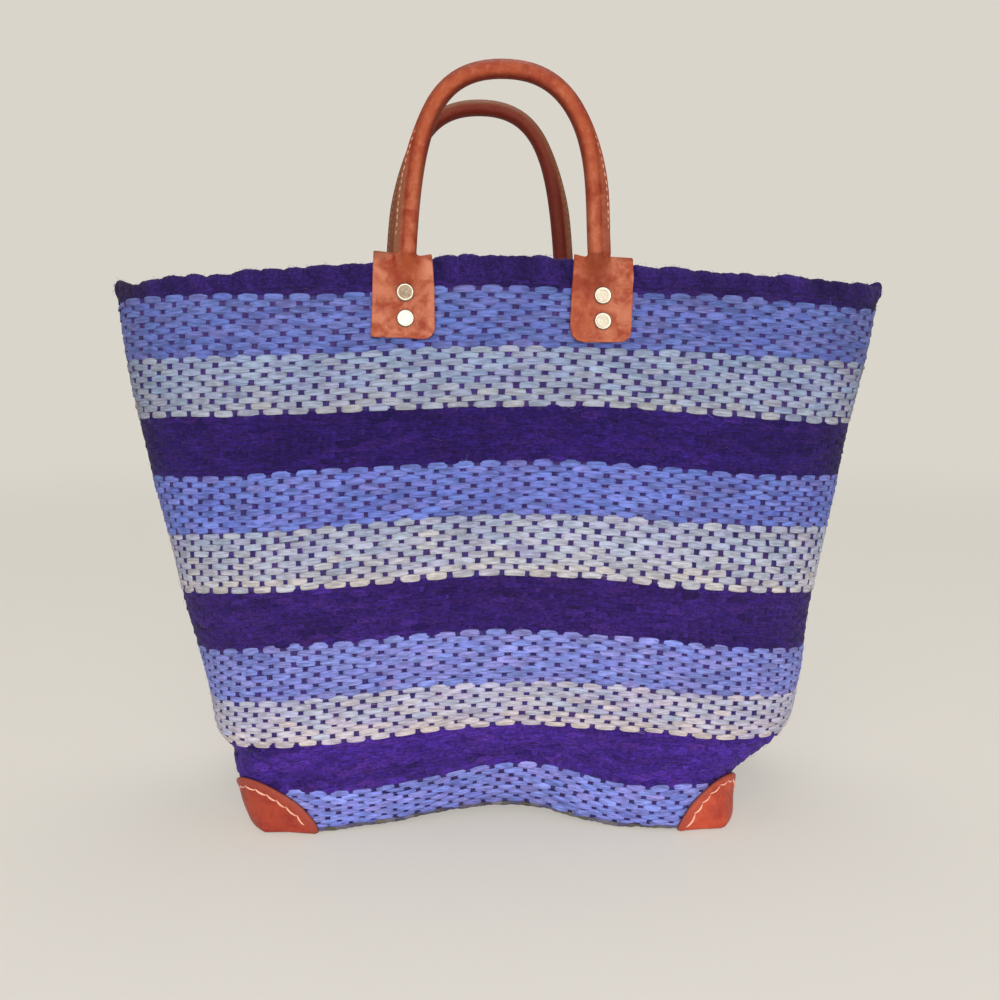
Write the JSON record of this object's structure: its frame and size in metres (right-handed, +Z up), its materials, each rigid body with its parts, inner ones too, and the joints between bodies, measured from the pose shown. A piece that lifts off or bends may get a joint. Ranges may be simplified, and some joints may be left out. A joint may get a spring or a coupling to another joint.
{
  "type": "woven tote bag",
  "caption": "Open-topped striped woven tote with a bound rim, leather corner patches and rolled leather carrying handles riveted to the body by flat tabs.",
  "frame": {"origin": "on the floor, under the middle of the mouth and midway between the front and back faces", "axes": "+X along the width of the bag, to the right of the front face; the front face looks along -Y; +Z up"},
  "size_m": [0.4761, 0.164, 0.4436],
  "materials": {
    "woven_strands": "matte flat strands, striped blue, grey lavender and dark purple",
    "rim_strands": "matte, bumpy bound edge in dark purple strands",
    "handle_leather": "smooth tan leather, semi-matte, mottled and darker at the folds",
    "corner_leather": "smooth red-tan leather, semi-matte, edge stitched",
    "rivet_metal": "pale polished metal cap",
    "cord_core": "twisted plant fibre cord"
  },
  "bodies": {
    "root": {"woven_body": "woven_strands", "rim_binding": "rim_strands", "front_left_corner_patch": "corner_leather", "front_right_corner_patch": "corner_leather", "back_left_corner_patch": "corner_leather", "back_right_corner_patch": "corner_leather", "front_left_tab": "handle_leather", "front_left_backing": "handle_leather", "front_left_upper_rivet_cap": "rivet_metal", "front_left_upper_rivet_post": "rivet_metal", "front_left_lower_rivet_cap": "rivet_metal", "front_left_lower_rivet_post": "rivet_metal", "front_right_tab": "handle_leather", "front_right_backing": "handle_leather", "front_right_upper_rivet_cap": "rivet_metal", "front_right_upper_rivet_post": "rivet_metal", "front_right_lower_rivet_cap": "rivet_metal", "front_right_lower_rivet_post": "rivet_metal", "back_left_tab": "handle_leather", "back_left_backing": "handle_leather", "back_left_upper_rivet_cap": "rivet_metal", "back_left_upper_rivet_post": "rivet_metal", "back_left_lower_rivet_cap": "rivet_metal", "back_left_lower_rivet_post": "rivet_metal", "back_right_tab": "handle_leather", "back_right_backing": "handle_leather", "back_right_upper_rivet_cap": "rivet_metal", "back_right_upper_rivet_post": "rivet_metal", "back_right_lower_rivet_cap": "rivet_metal", "back_right_lower_rivet_post": "rivet_metal"},
    "front_handle": {"front_handle_cover": "handle_leather", "front_handle_core": "cord_core"},
    "back_handle": {"back_handle_cover": "handle_leather", "back_handle_core": "cord_core"}
  },
  "joints": [
    {"name": "front_handle_swing", "type": "hinge", "parent": "root", "child": "front_handle", "pos_m": [-0.0012, -0.05644, 0.3364], "axis": [1, 0, 0], "range_deg": [-30, 110]},
    {"name": "back_handle_swing", "type": "hinge", "parent": "root", "child": "back_handle", "pos_m": [-0.013, 0.05632, 0.3364], "axis": [-1, 0, 0], "range_deg": [-30, 110]}
  ]
}
